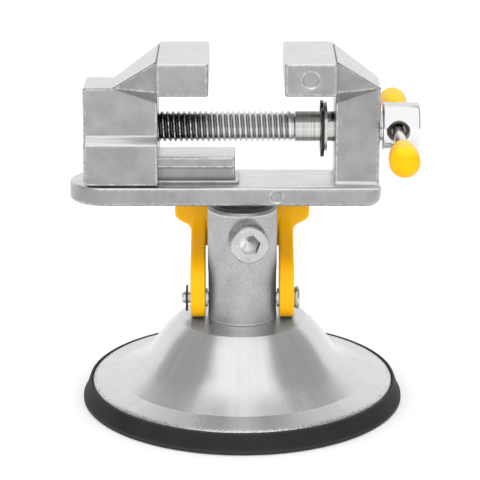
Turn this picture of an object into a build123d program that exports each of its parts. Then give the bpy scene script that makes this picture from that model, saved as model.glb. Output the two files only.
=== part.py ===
from build123d import *
import os
from math import cos, radians, sin, sqrt

os.makedirs("parts", exist_ok=True)

# Suction base vise, in millimetres. The origin is on the bench, under the middle of the neck.
# X runs along the lead screw towards its head, Y points away from the user, Z is up.

# ---------------------------------------------------------------- fits
slide_fit = 0.06  # radial gap of a pin, rod or screw that moves in its hole
press_fit = 0.02  # radial gap of a piece that is pressed or screwed home
seat_gap = 0.05  # gap between faces that rest on each other
rail_gap = 0.15  # gap all round the rail in the moving jaw's channel
skid_gap = 0.5  # gap between the moving jaw and the top of the bed

# ---------------------------------------------------------------- rubber pad
pad_radius = 42.5
pad_height = 5.3
pad_taper = 1.7  # how far the outer wall leans in, up to its rim
pad_floor = 3.2
pad_rim_gap = 0.15
seal_width = 5.0
relief_width = 8.0
relief_depth = 0.8

# ---------------------------------------------------------------- dish
dish_radius = 40.0
dish_wall = 1.6
dish_rim_height = 5.2  # top of the rim over the bench
dish_rim_land = 3.0
dish_rim_round = 0.9
flange_width = 6.3
foot_height = 6.9
waist_radius = 24.0
waist_height = 14.0
plateau_radius = 16.8
plateau_height = 22.1
foot_slope = 0.5  # fall per millimetre of radius, at three places down the flank
waist_slope = 1.5
shoulder_slope = 0.8

# ---------------------------------------------------------------- neck
neck_radius = 9.1
neck_length = 30.8
neck_edge = 0.7
neck_foot_edge = 0.4
spigot_radius = 7.0
spigot_nose = 0.6
nut_width = 20.0
nut_height = 4.0
stem_seat_depth = 15.9  # from the neck's top down to the stem's seat
pin_slot_width = 3.4
pin_slot_top = 14.0  # above the dish's plateau
pin_slot_foot = 0.6

# ---------------------------------------------------------------- pull rod, plate and return spring
rod_radius = 4.0
rod_head = 6.2  # from the pin's axis up to the top of the rod
rod_tail_radius = 2.5
plate_radius = 13.0
plate_thickness = 1.6
spring_gap = 0.5
spring_wire = 1.6

# ---------------------------------------------------------------- lever and its pin
cam_radius = 5.15  # from the pin to the cam's flat foot
lever_swing = 66.0  # degrees from upright to locked down
suction_lift = 2.4  # how far the full swing lifts the pin
cam_relief = 8.0  # degrees by which the back turns away past the end of the cam
arm_gap = 0.65
arm_thickness = 3.9
web_gap = 0.6
web_height = 11.1  # all lever heights are from the pin's axis
flare_start = 14.7
flare_end = 19.9
lever_height = 27.0
paddle_width = 36.0
paddle_thickness = 2.7
paddle_lean = 12.0
paddle_corner = 4.0
lever_edge = 0.6
pin_radius = 1.5
pin_head_radius = 3.15
pin_head_height = 0.9
pin_washer_radius = 2.8
pin_washer_thickness = 0.5
pin_clip_radius = 3.7
pin_clip_thickness = 0.5
pin_clip_gap = 0.75
pin_groove_depth = 0.35
pin_tail = 1.05
spacer_radius = 2.5

# ---------------------------------------------------------------- swivel stem, ring and lock screw
stem_radius = 5.6
stem_spigot_radius = 4.0
stem_spigot_length = 3.7
stem_groove_depth = 1.0
ring_radius = 8.3
ring_thickness = 1.1
ring_headroom = 1.1
lock_drop = 6.4  # from the neck's top down to the lock screw's axis
lock_turned = 7.0  # degrees off straight ahead
lock_thread_radius = 3.0
lock_head_radius = 5.0
lock_head_height = 6.0
lock_standoff = 0.3
lock_socket_width = 5.0
lock_socket_depth = 3.0
lock_socket_turn = 11.0
lock_edge = 0.4

# ---------------------------------------------------------------- bed, rail and fixed jaw
bed_left = -44.9
bed_overhang = 0.3  # beyond the fixed column
bed_depth = 18.5
bed_thickness = 4.95
bed_end_round = 3.2  # underside of the bed's right end
bed_edge = 0.7
rail_length = 38.5
rail_end = -1.9
rail_width = 10.8
rail_waist = 7.2
rail_foot_width = 10.6
rail_foot = 0.85
rail_toe = 1.0  # how far the rail's foot runs on past its end
rail_round = 0.35
rail_groove = 3.4
rail_flange = 2.9
column_inner = 23.8
column_depth = 12.8
column_round = 0.8
column_fillet = 1.6
screw_over_bed = 14.05
shoulder_over_screw = 11.5
arm_length = 13.1
arm_height = 8.5
arm_sag = 0.5  # how far the arm reaches under the column's shoulder
arm_depth = 27.4
arm_round = 0.6
gusset_length = 11.5
gusset_depth = 22.4
gusset_drop = 3.9
mark_radius = 2.2  # shallow round marks of the ejector pins
mark_depth = 0.3
mark_taper = 50.0
arm_mark = 6.5  # from the arm's face to the mark on its front
bed_mark_radius = 1.7
bed_mark = 8.8

# ---------------------------------------------------------------- moving jaw
jaw_opening = 19.3
jaw_block_length = 19.1
jaw_block_depth = 18.0
jaw_ledge = 12.55  # underside of the ledge, over the moving jaw's foot
jaw_slope = 1.9
ledge_round = 0.9

# ---------------------------------------------------------------- lead screw, its clip and washer
screw_radius = 3.97
screw_tip = 16.0  # from the moving jaw's inner face to the screw's tip
screw_tip_chamfer = 1.0
thread_end = 12.5
runout_length = 0.8
runout_depth = 0.5
head_gap = 0.8
head_radius = 6.2
head_length = 9.6
head_edge = 0.5
screw_clip_place = 20.2
screw_clip_thickness = 0.8
screw_clip_radius = 7.9
screw_groove_depth = 0.75
screw_washer_radius = 6.4
screw_washer_thickness = 0.7

# ---------------------------------------------------------------- tommy bar and its caps
bar_radius = 1.5
bar_hole_gap = 0.25
bar_sink_radius = 3.0
bar_sink_depth = 1.4
bar_reach = 30.75  # from the bar's middle to each ball's centre
bar_shift = -4.25  # the bar rests a little towards the user
bar_offset = 0.8  # the cross hole is this much off the head's middle
bar_lean = 1.0  # degrees by which the bar lies askew in its loose hole
cap_ball_radius = 3.87
cap_mouth_radius = 2.75
cap_neck_length = 10.9
cap_bore_depth = 8.9
cap_throat_length = 3.4
cap_throat_radius = 3.5

# ---------------------------------------------------------------- places worked out from the sizes
foot_radius = dish_radius - flange_width
pin_height = plateau_height + seat_gap + cam_radius
neck_top = plateau_height + neck_length
stem_seat = neck_top - stem_seat_depth
lock_height = neck_top - lock_drop
bed_bottom = neck_top + ring_thickness + ring_headroom
bed_top = bed_bottom + bed_thickness
rail_top = bed_top + rail_foot + rail_groove + rail_flange
screw_height = bed_top + screw_over_bed
shoulder = screw_height + shoulder_over_screw
arm_bottom = shoulder - arm_sag
arm_top = arm_bottom + arm_height
fixed_face = column_inner - arm_length
moving_face = fixed_face - jaw_opening
jaw_inner = moving_face - arm_length
column_outer = column_inner + gusset_length
head_start = column_outer + head_gap
bar_place = head_start + head_length / 2 - bar_offset
arm_inner = neck_radius + arm_gap
arm_outer = arm_inner + arm_thickness
ceiling = plateau_height - dish_wall
nut_bottom = ceiling - nut_height
spigot_end = nut_bottom - spigot_nose
plate_bottom = pad_floor + seat_gap
plate_top = plate_bottom + plate_thickness
cam_rate = suction_lift / radians(lever_swing)  # lift per radian, the same all the way

lock_direction = Vector(sin(radians(lock_turned)), -cos(radians(lock_turned)), 0)
lock_plane = Plane(origin=(0, 0, lock_height), z_dir=lock_direction)
side_view = Plane(origin=(0, 0, pin_height), x_dir=(0, 1, 0), z_dir=(1, 0, 0))
front_view = Plane(origin=(0, 0, pin_height), x_dir=(1, 0, 0), z_dir=(0, -1, 0))


def across(place):
    """Plane square to the lead screw, its own x along Y and its own y up from the screw's axis."""
    return Plane(origin=(place, 0, screw_height), x_dir=(0, 1, 0), z_dir=(1, 0, 0))


def inward(radius, height, slope, depth):
    """Point at a depth under a flank that falls by slope for each millimetre of radius."""
    steep = sqrt(1 + slope**2)
    return (radius - depth * slope / steep, height - depth / steep)


def e_clip_outline(outer, inner):
    """Flat E-shaped clip, open upwards, with three tabs that bear on a groove of radius inner."""
    ring = inner + 0.45 * (outer - inner)
    tab = 0.75 * inner
    Circle(outer)
    Circle(ring, mode=Mode.SUBTRACT)
    with Locations((0, -(inner + ring) / 2)):
        Rectangle(tab, ring - inner + tab / 2)
    with Locations((-(inner + ring) / 2, 0), ((inner + ring) / 2, 0)):
        Rectangle(ring - inner + tab / 2, tab)
    Circle(inner, mode=Mode.SUBTRACT)
    with Locations((0, outer / 2 + tab / 2)):
        Rectangle(1.7 * inner, outer, mode=Mode.SUBTRACT)
    with Locations((0, 1.2 * outer)):
        Rectangle(2 * outer, outer, mode=Mode.SUBTRACT)


def cam_point(angle):
    """Involute edge of the cam: its height under the pin grows evenly with the lever's angle."""
    height = cam_radius + cam_rate * angle
    return (
        height * sin(angle) + cam_rate * cos(angle),
        cam_rate * sin(angle) - height * cos(angle),
    )


def rail_outline(gap):
    """Half of the rail's section, from its foot on the bed to its top, widened by a gap."""
    foot = bed_top - screw_height
    groove_bottom = foot + rail_foot + gap
    groove_top = foot + rail_foot + rail_groove - gap
    top = rail_top - screw_height + gap
    Polygon(
        (0, foot),
        (rail_foot_width / 2 + gap, foot),
        (rail_foot_width / 2 + gap, groove_bottom),
        (rail_waist / 2 + gap, groove_bottom),
        (rail_waist / 2 + gap, groove_top),
        (rail_width / 2 + gap, groove_top),
        (rail_width / 2 + gap, top),
        (0, top),
        align=None,
    )


def three_point_plane(first, second, third):
    """Plane through three points, facing the side from which they turn anticlockwise."""
    start = Vector(*first)
    along = Vector(*second) - start
    return Plane(origin=start, x_dir=along, z_dir=along.cross(Vector(*third) - start))


# ---------------------------------------------------------------- rubber pad
# One moulded disc: a sealing lip, a shallow relief, a flat middle and an outer wall that
# grips the rim of the dish.
moat_inner = pad_radius - seal_width - relief_width
with BuildPart() as rubber_pad:
    with BuildSketch(Plane.XZ):
        Polygon(
            (0, 0),
            (moat_inner, 0),
            (moat_inner + relief_depth, relief_depth),
            (pad_radius - seal_width - relief_depth, relief_depth),
            (pad_radius - seal_width, 0),
            (pad_radius, 0),
            (pad_radius, relief_depth),
            (pad_radius - pad_taper, pad_height),
            (dish_radius + pad_rim_gap, pad_height),
            (dish_radius + pad_rim_gap, pad_floor),
            (0, pad_floor),
            align=None,
        )
    revolve(axis=Axis.Z)
    rim = rubber_pad.edges().filter_by(GeomType.CIRCLE).group_by(Axis.Z)[-1]
    fillet(rim.sort_by(SortBy.RADIUS)[-1], 0.3)

# ---------------------------------------------------------------- dish
# Spun aluminium: flat plateau, flank that steepens and then eases into a sloping flange.
waist = (waist_radius, waist_height)
shoulder_dir = (1, -shoulder_slope)
waist_dir = (1, -waist_slope)
foot_dir = (1, -foot_slope)
flange_slope = (foot_height - dish_rim_height) / (dish_radius - foot_radius)
land_radius = dish_radius - dish_rim_land
inner_shoulder = inward(plateau_radius, plateau_height, shoulder_slope, dish_wall)
inner_shoulder = (inner_shoulder[0], ceiling)
inner_waist = inward(waist_radius, waist_height, waist_slope, dish_wall)
inner_foot = inward(foot_radius, foot_height, foot_slope, dish_wall)
inner_land = (land_radius, dish_rim_height + flange_slope * dish_rim_land - dish_wall)
spigot_hole = spigot_radius + press_fit
dish_seat = pad_floor + seat_gap
with BuildPart() as suction_dome:
    with BuildSketch(Plane.XZ):
        with BuildLine():
            Line((spigot_hole, plateau_height), (plateau_radius, plateau_height))
            Spline((plateau_radius, plateau_height), waist, tangents=(shoulder_dir, waist_dir))
            Spline(waist, (foot_radius, foot_height), tangents=(waist_dir, foot_dir))
            Line((foot_radius, foot_height), (dish_radius, dish_rim_height))
            Line((dish_radius, dish_rim_height), (dish_radius, dish_seat))
            Line((dish_radius, dish_seat), (land_radius, dish_seat))
            Line((land_radius, dish_seat), inner_land)
            Line(inner_land, inner_foot)
            Spline(inner_foot, inner_waist, tangents=((-1, foot_slope), (-1, waist_slope)))
            Spline(inner_waist, inner_shoulder, tangents=((-1, waist_slope), (-1, shoulder_slope)))
            Line(inner_shoulder, (spigot_hole, ceiling))
            Line((spigot_hole, ceiling), (spigot_hole, plateau_height))
        make_face()
    revolve(axis=Axis.Z)
    rims = suction_dome.edges().filter_by(GeomType.CIRCLE).sort_by(SortBy.RADIUS)[-2:]
    fillet(rims.sort_by(Axis.Z)[-1], dish_rim_round)

# ---------------------------------------------------------------- neck
# A turned post with a threaded spigot. The pull rod runs in its lower bore, the swivel stem
# sits in its upper bore, and the lever's pin rides up and down in the cross slot.
slot_bottom = plateau_height + pin_slot_foot
slot_top = plateau_height + pin_slot_top
with BuildPart() as neck_post:
    with BuildSketch(Plane.XY.offset(plateau_height + seat_gap)):
        Circle(neck_radius)
    extrude(amount=neck_length - seat_gap)
    chamfer(neck_post.edges().group_by(Axis.Z)[-1], neck_edge)
    chamfer(neck_post.edges().group_by(Axis.Z)[0], neck_foot_edge)
    with BuildSketch(Plane.XY.offset(spigot_end)):
        Circle(spigot_radius)
    extrude(until=Until.NEXT)
    with BuildSketch(Plane.XY.offset(spigot_end)):
        Circle(rod_radius + slide_fit)
    extrude(amount=neck_top - spigot_end, mode=Mode.SUBTRACT)
    with BuildSketch(Plane.XY.offset(stem_seat)):
        Circle(stem_radius + slide_fit)
    extrude(amount=stem_seat_depth, mode=Mode.SUBTRACT)
    with BuildSketch(Plane.YZ):
        with Locations((0, (slot_bottom + slot_top) / 2)):
            SlotOverall(slot_top - slot_bottom, pin_slot_width, rotation=90)
    extrude(amount=neck_radius, both=True, mode=Mode.SUBTRACT)
    with BuildSketch(lock_plane):
        Circle(lock_thread_radius + press_fit)
    extrude(amount=neck_radius, mode=Mode.SUBTRACT)

# Hexagon nut under the dish that holds the neck down.
with BuildPart() as neck_nut:
    with BuildSketch(Plane.XY.offset(nut_bottom)):
        RegularPolygon(nut_width / 2, 6, major_radius=False)
        Circle(spigot_radius + press_fit, mode=Mode.SUBTRACT)
    extrude(amount=nut_height - seat_gap)

# ---------------------------------------------------------------- pull rod, plate, spring
# The rod is lifted by the pin. Its tail is peened into the steel plate that is bonded to
# the middle of the rubber pad, and a spring round it pushes the pad down again.
rod_top = pin_height + rod_head
with BuildPart() as pull_rod:
    with BuildSketch(Plane.XY.offset(plate_top)):
        Circle(rod_radius)
    extrude(amount=rod_top - plate_top)
    chamfer(pull_rod.edges().group_by(Axis.Z)[-1], neck_edge)
    with BuildSketch(Plane.XY.offset(plate_bottom)):
        Circle(rod_tail_radius)
    extrude(amount=plate_thickness)
    with BuildSketch(side_view):
        Circle(pin_radius + press_fit)
    extrude(amount=rod_radius, both=True, mode=Mode.SUBTRACT)

with BuildPart() as pull_plate:
    with BuildSketch(Plane.XY.offset(plate_bottom)):
        Circle(plate_radius)
        Circle(rod_tail_radius + press_fit, mode=Mode.SUBTRACT)
    extrude(amount=plate_thickness)
    chamfer(pull_plate.edges().group_by(Axis.Z)[-1].sort_by(SortBy.RADIUS)[-1], lock_edge)

spring_inner = rod_radius + spring_gap
with BuildPart() as return_spring:
    with BuildSketch(Plane.XY.offset(plate_top + seat_gap)):
        Circle(spring_inner + spring_wire)
        Circle(spring_inner, mode=Mode.SUBTRACT)
    extrude(amount=spigot_end - plate_top - 2 * seat_gap)

# ---------------------------------------------------------------- lever
# One moulding: two cam arms, a web behind the neck and a flared paddle. The cam's edge is an
# involute, so the pin rises by the same amount for each degree of swing.
lean = radians(paddle_lean)
lean_dir = (sin(lean), cos(lean))
web_front = neck_radius + web_gap


def paddle_front(height):
    """Distance behind the pin of the paddle's front face, at a height over the pin."""
    return web_front + (height - web_height) * sin(lean) / cos(lean)


def paddle_back(height):
    """The same for the paddle's back face."""
    return paddle_front(height) + paddle_thickness / cos(lean)


swing = radians(lever_swing)
turned_away = swing + radians(cam_relief)
cam_steps = 8
cam_edge = [cam_point(swing * step / cam_steps) for step in range(cam_steps + 1)]
cam_end_dir = (cos(swing), sin(swing))
arm_root = (-cam_radius, cam_radius / 2)
arm_merge = (paddle_front(flare_end), flare_end)
back_low = (paddle_back(web_height), web_height)
arm_middle = (arm_inner + arm_outer) / 2

with BuildPart() as paddle:
    with BuildSketch(side_view):
        Polygon(
            (paddle_front(web_height), web_height),
            back_low,
            (paddle_back(lever_height), lever_height),
            (paddle_front(lever_height), lever_height),
            align=None,
        )
    extrude(amount=paddle_width / 2, both=True)
    with BuildSketch(front_view):
        with BuildLine():
            flare = Spline(
                (arm_outer, flare_start),
                (paddle_width / 2, flare_end),
                tangents=((0, 1), (0, 1)),
            )
            Line((0, web_height), (arm_middle, web_height))
            Line((arm_middle, web_height), flare @ 0)
            Line(flare @ 1, (paddle_width / 2, lever_height - paddle_corner))
            RadiusArc(
                (paddle_width / 2, lever_height - paddle_corner),
                (paddle_width / 2 - paddle_corner, lever_height),
                -paddle_corner,
            )
            Line((paddle_width / 2 - paddle_corner, lever_height), (0, lever_height))
            Line((0, lever_height), (0, web_height))
        make_face()
        mirror(about=Plane.YZ)
    extrude(amount=3 * neck_radius, both=True, mode=Mode.INTERSECT)
    broad_faces = paddle.faces().sort_by(SortBy.AREA)[-2:]
    fillet(broad_faces.edges(), lever_edge)

with BuildPart() as cam_arm:
    with BuildSketch(side_view.offset(arm_inner)):
        with BuildLine():
            Line((-cam_radius, 0), arm_root)
            Spline(arm_root, arm_merge, tangents=((0, 1), lean_dir))
            Line(arm_merge, (paddle_back(flare_end), flare_end))
            Line((paddle_back(flare_end), flare_end), back_low)
            Spline(
                back_low,
                cam_edge[-1],
                tangents=((-sin(lean), -cos(lean)), (-cos(turned_away), -sin(turned_away))),
            )
            Spline(*cam_edge, tangents=((1, 0), cam_end_dir))
            Line(cam_edge[0], (0, -cam_radius))
            CenterArc((0, 0), cam_radius, 180, 90)
        make_face()
    extrude(amount=arm_thickness)
    fillet(cam_arm.faces().filter_by(Axis.X).edges(), lever_edge)

with BuildPart() as suction_lever:
    add(cam_arm.part)
    mirror(about=Plane.YZ)
    add(paddle.part)
    with BuildSketch(side_view.offset(-arm_outer)):
        Circle(pin_radius + slide_fit)
    extrude(amount=2 * arm_outer, mode=Mode.SUBTRACT)

# ---------------------------------------------------------------- pin, clip and washers
pin_right = arm_outer + pin_washer_thickness + 3 * seat_gap
clip_face = -(arm_outer + pin_clip_gap)
pin_left = clip_face - pin_clip_thickness - pin_tail
groove_radius = pin_radius - pin_groove_depth
with BuildPart() as pivot_pin:
    with BuildSketch(side_view.offset(pin_left)):
        Circle(pin_radius)
    extrude(amount=pin_right - pin_left)
    chamfer(pivot_pin.edges().group_by(Axis.X)[0], pin_groove_depth)
    with BuildSketch(side_view.offset(clip_face)):
        Circle(pin_radius + seat_gap)
        Circle(groove_radius, mode=Mode.SUBTRACT)
    extrude(amount=-(pin_clip_thickness + seat_gap), mode=Mode.SUBTRACT)
    with BuildSketch(side_view.offset(pin_right)):
        Circle(pin_head_radius)
    extrude(amount=pin_head_height)
    fillet(pivot_pin.edges().group_by(Axis.X)[-1], 0.9 * pin_head_height)

with BuildPart() as pin_clip:
    with BuildSketch(side_view.offset(clip_face - seat_gap / 2)):
        e_clip_outline(pin_clip_radius, groove_radius + press_fit)
    extrude(amount=-pin_clip_thickness)

with BuildPart() as pin_washer:
    with BuildSketch(side_view.offset(arm_outer + 2 * seat_gap)):
        Circle(pin_washer_radius)
        Circle(pin_radius + slide_fit, mode=Mode.SUBTRACT)
    extrude(amount=pin_washer_thickness)

with BuildPart() as arm_spacers:
    for face in (neck_radius + seat_gap, -arm_inner + seat_gap):
        with BuildSketch(side_view.offset(face)):
            Circle(spacer_radius)
            Circle(pin_radius + slide_fit, mode=Mode.SUBTRACT)
        extrude(amount=arm_gap - 2 * seat_gap)

# ---------------------------------------------------------------- swivel stem, ring, lock screw
# The stem is pressed into the bed. The lock screw's tip lies in its groove, so the head turns
# freely with the screw slack and can't lift off.
stem_waist = stem_radius - stem_groove_depth
with BuildPart() as swivel_stem:
    with BuildSketch(Plane.XY.offset(stem_seat + seat_gap)):
        Circle(stem_radius)
    extrude(amount=bed_bottom - stem_seat - 2 * seat_gap)
    chamfer(swivel_stem.edges().group_by(Axis.Z)[0], stem_groove_depth / 2)
    with BuildSketch(Plane.XY.offset(lock_height - lock_thread_radius - stem_groove_depth / 2)):
        Circle(stem_radius)
        Circle(stem_waist, mode=Mode.SUBTRACT)
    extrude(amount=2 * lock_thread_radius + stem_groove_depth, mode=Mode.SUBTRACT)
    with BuildSketch(Plane.XY.offset(bed_bottom - seat_gap)):
        Circle(stem_spigot_radius)
    extrude(amount=stem_spigot_length)

with BuildPart() as swivel_ring:
    with BuildSketch(Plane.XY.offset(neck_top + seat_gap)):
        Circle(ring_radius)
        Circle(stem_radius + slide_fit, mode=Mode.SUBTRACT)
    extrude(amount=ring_thickness)

lock_head_start = neck_radius + lock_standoff
with BuildPart() as lock_screw:
    with BuildSketch(lock_plane.offset(stem_waist + seat_gap)):
        Circle(lock_thread_radius)
    extrude(amount=lock_head_start - stem_waist - seat_gap)
    chamfer(lock_screw.edges().filter_by(GeomType.CIRCLE).sort_by(Axis.Y)[-1], lock_edge)
    with BuildSketch(lock_plane.offset(lock_head_start)):
        Circle(lock_head_radius)
    extrude(amount=lock_head_height)
    chamfer(lock_screw.edges().filter_by(GeomType.CIRCLE).sort_by(Axis.Y)[0], lock_edge)
    with BuildSketch(lock_plane.offset(lock_head_start + lock_head_height)):
        RegularPolygon(
            lock_socket_width / 2, 6, major_radius=False, rotation=lock_socket_turn
        )
    extrude(amount=-lock_socket_depth, mode=Mode.SUBTRACT)

# ---------------------------------------------------------------- jaw arm, shared by both jaws
# The overhanging arm and the faceted gusset that carries it, from the wide arm down to the
# narrow column. It is drawn on the fixed side and mirrored for the moving jaw.
arm_y = arm_depth / 2
column_y = column_depth / 2
gusset_y = gusset_depth / 2
gusset_low = shoulder - gusset_drop
with BuildPart() as gusset:
    with BuildSketch(Plane.YZ.offset(column_inner)):
        Polygon(
            (-gusset_y, arm_top),
            (-gusset_y, shoulder),
            (-column_y, gusset_low),
            (column_y, gusset_low),
            (gusset_y, shoulder),
            (gusset_y, arm_top),
            align=None,
        )
    extrude(amount=gusset_length)
    for side in (-1, 1):
        top_corner = (column_inner, side * gusset_y, arm_top)
        low_corner = (column_inner, side * gusset_y, shoulder)
        root = (column_inner, side * column_y, gusset_low)
        point = (column_outer, side * column_y, shoulder)
        facing = Keep.BOTTOM if side < 0 else Keep.TOP
        split(bisect_by=three_point_plane(low_corner, point, top_corner), keep=facing)
        split(bisect_by=three_point_plane(root, point, low_corner), keep=facing)
    slope = three_point_plane(
        (column_inner, -column_y, arm_top),
        (column_outer, -column_y, shoulder),
        (column_inner, column_y, arm_top),
    )
    split(bisect_by=slope, keep=Keep.BOTTOM)

with BuildPart() as jaw_arm:
    with BuildSketch(Plane.YZ.offset(fixed_face)):
        with Locations((0, (arm_bottom + arm_top) / 2)):
            Rectangle(arm_depth, arm_height)
    extrude(amount=arm_length)
    fillet(jaw_arm.edges(), arm_round)
    add(gusset.part)

# ---------------------------------------------------------------- vise frame
# One casting: bed with a round left end, slide rail, fixed column and arm.
bed_right = column_outer + bed_overhang
bed_nose = bed_left + bed_depth / 2
with BuildPart() as vise_frame:
    with BuildSketch(Plane.XY.offset(bed_bottom)):
        with Locations((bed_nose, 0)):
            Circle(bed_depth / 2)
        with Locations(((bed_nose + bed_right) / 2, 0)):
            Rectangle(bed_right - bed_nose, bed_depth)
    extrude(amount=bed_thickness)
    fillet(vise_frame.edges().filter_by(Axis.Y).sort_by(Axis.Z)[0], bed_end_round)
    outlines = vise_frame.edges().filter_by(Axis.Y, reverse=True).group_by(Axis.Z)
    fillet(outlines[0] + outlines[-1], bed_edge)
    with BuildSketch(across(rail_end)):
        rail_outline(0)
        mirror(about=Plane.YZ)
    extrude(amount=-rail_length)
    with BuildSketch(Plane.XY.offset(bed_top)):
        with Locations((rail_end + rail_toe / 2, 0)):
            Rectangle(rail_toe, rail_foot_width)
    extrude(amount=rail_foot)
    rail_edges = vise_frame.edges().filter_by(Axis.X)
    rail_edges = rail_edges.filter_by_position(Axis.Z, bed_top + seat_gap, rail_top)
    rail_edges -= rail_edges.filter_by_position(Axis.Y, -rail_waist / 2, rail_waist / 2)
    fillet(rail_edges, rail_round)
    with BuildSketch(Plane.XY.offset(bed_top)) as column:
        with Locations(((column_inner + column_outer) / 2, 0)):
            Rectangle(gusset_length, column_depth)
        fillet(column.vertices().group_by(Axis.X)[-1], column_round)
    extrude(amount=shoulder - bed_top)
    foot_edges = vise_frame.edges().filter_by_position(Axis.Z, bed_top, bed_top)
    foot_edges = foot_edges.filter_by_position(Axis.X, column_inner, column_outer - column_round)
    foot_edges = foot_edges.filter_by_position(Axis.Y, -column_y, column_y)
    fillet(foot_edges, column_fillet)
    add(jaw_arm.part)
    mark_height = (arm_bottom + arm_top) / 2
    with BuildSketch(Plane(origin=(fixed_face + arm_mark, -arm_y, mark_height), z_dir=(0, -1, 0))):
        Circle(mark_radius)
    extrude(amount=-mark_depth, taper=mark_taper, mode=Mode.SUBTRACT)
    mark_height = (bed_bottom + bed_top) / 2
    with BuildSketch(Plane(origin=(bed_mark, -bed_depth / 2, mark_height), z_dir=(0, -1, 0))):
        Circle(bed_mark_radius)
    extrude(amount=-mark_depth, taper=mark_taper, mode=Mode.SUBTRACT)
    with BuildSketch(across(column_inner)):
        Circle(screw_radius + slide_fit)
    extrude(amount=gusset_length, mode=Mode.SUBTRACT)
    with BuildSketch(Plane.XY.offset(bed_bottom)):
        Circle(stem_spigot_radius + press_fit)
    extrude(amount=stem_spigot_length, mode=Mode.SUBTRACT)

# ---------------------------------------------------------------- moving jaw
# A block that straddles the rail, a narrower column over a sloping ledge, and the same arm.
block_foot = bed_top + skid_gap
ledge = block_foot + jaw_ledge
jaw_outer = jaw_inner - jaw_block_length
middle = (fixed_face + moving_face) / 2
with BuildPart() as moving_jaw:
    with BuildSketch(Plane.YZ.offset(jaw_outer)):
        Polygon(
            (-jaw_block_depth / 2, block_foot),
            (jaw_block_depth / 2, block_foot),
            (jaw_block_depth / 2, ledge - jaw_slope),
            (column_y, ledge),
            (column_y, shoulder),
            (-column_y, shoulder),
            (-column_y, ledge),
            (-jaw_block_depth / 2, ledge - jaw_slope),
            align=None,
        )
    extrude(amount=jaw_block_length)
    ledge_edges = moving_jaw.edges().filter_by(Axis.X)
    ledge_edges = ledge_edges.filter_by_position(Axis.Z, ledge - jaw_slope, ledge)
    fillet(ledge_edges, ledge_round)
    fillet(moving_jaw.edges().group_by(Axis.X)[0], column_round)
    mirror(jaw_arm.part, about=Plane.YZ.offset(middle))
    with BuildSketch(across(jaw_outer)):
        rail_outline(rail_gap)
        mirror(about=Plane.YZ)
    extrude(amount=jaw_block_length, mode=Mode.SUBTRACT)
    with BuildSketch(across(jaw_outer)):
        Circle(screw_radius + slide_fit)
    extrude(amount=jaw_block_length, mode=Mode.SUBTRACT)

# ---------------------------------------------------------------- lead screw
# Rolled thread, plain journal through the column, and a drilled T-head.
tip = jaw_inner - screw_tip
with BuildPart() as lead_screw:
    with BuildSketch(across(tip)):
        Circle(screw_radius)
    extrude(amount=head_start - tip)
    chamfer(lead_screw.edges().group_by(Axis.X)[0], screw_tip_chamfer)
    with BuildSketch(across(thread_end)):
        Circle(screw_radius)
        Circle(screw_radius - runout_depth, mode=Mode.SUBTRACT)
    extrude(amount=runout_length, mode=Mode.SUBTRACT)
    with BuildSketch(across(screw_clip_place)):
        Circle(screw_radius)
        Circle(screw_radius - screw_groove_depth, mode=Mode.SUBTRACT)
    extrude(amount=screw_clip_thickness + seat_gap, mode=Mode.SUBTRACT)
    with BuildSketch(across(head_start)):
        Circle(head_radius)
    extrude(amount=head_length)
    chamfer(lead_screw.edges().group_by(Axis.X)[-1], head_edge)
    with Locations(Plane(origin=(bar_place, 0, screw_height), x_dir=(1, 0, 0), z_dir=(0, -1, 0))):
        Cylinder(bar_radius + bar_hole_gap, 3 * head_radius, mode=Mode.SUBTRACT)
        for side in (-1, 1):
            with Locations((0, 0, side * (head_radius - bar_sink_depth / 2))):
                Cone(
                    bar_sink_radius if side < 0 else bar_radius + bar_hole_gap,
                    bar_radius + bar_hole_gap if side < 0 else bar_sink_radius,
                    bar_sink_depth,
                    mode=Mode.SUBTRACT,
                )

with BuildPart() as screw_clip:
    with BuildSketch(across(screw_clip_place + seat_gap / 2)):
        e_clip_outline(screw_clip_radius, screw_radius - screw_groove_depth + press_fit)
    extrude(amount=screw_clip_thickness)

with BuildPart() as screw_washer:
    with BuildSketch(across(screw_clip_place + screw_clip_thickness + 2 * seat_gap)):
        Circle(screw_washer_radius)
        Circle(screw_radius + slide_fit, mode=Mode.SUBTRACT)
    extrude(amount=screw_washer_thickness)

# ---------------------------------------------------------------- tommy bar and caps
bar_end = bar_reach - cap_neck_length + cap_bore_depth
askew = radians(bar_lean)
bar_direction = Vector(sin(askew), cos(askew), 0)
bar_side = Vector(cos(askew), -sin(askew), 0)
bar_middle = Vector(bar_place, 0, screw_height) + bar_direction * bar_shift
bar_plane = Plane(origin=bar_middle, x_dir=bar_side, z_dir=-bar_direction)
with BuildPart() as tommy_bar:
    with BuildSketch(bar_plane):
        Circle(bar_radius)
    extrude(amount=bar_end - seat_gap, both=True)

caps = {}
for name, toward in (("bar_cap_front", -1), ("bar_cap_rear", 1)):
    mouth = bar_middle + bar_direction * toward * (bar_reach - cap_neck_length)
    cap_plane = Plane(origin=mouth, x_dir=bar_side, z_dir=(0, 0, toward))
    with BuildPart() as cap:
        with BuildSketch(cap_plane):
            with BuildLine():
                Line((0, cap_bore_depth), (bar_radius + press_fit, cap_bore_depth))
                Line((bar_radius + press_fit, cap_bore_depth), (bar_radius + press_fit, 0))
                Line((bar_radius + press_fit, 0), (cap_mouth_radius, 0))
                Spline(
                    (cap_mouth_radius, 0),
                    (cap_throat_radius, cap_throat_length),
                    (cap_ball_radius, cap_neck_length),
                    tangents=((1, 1), (0, 1)),
                )
                CenterArc((0, cap_neck_length), cap_ball_radius, 0, 90)
                Line((0, cap_neck_length + cap_ball_radius), (0, cap_bore_depth))
            make_face()
        revolve(axis=Axis(cap_plane.origin, cap_plane.y_dir))
    caps[name] = cap.part

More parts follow.
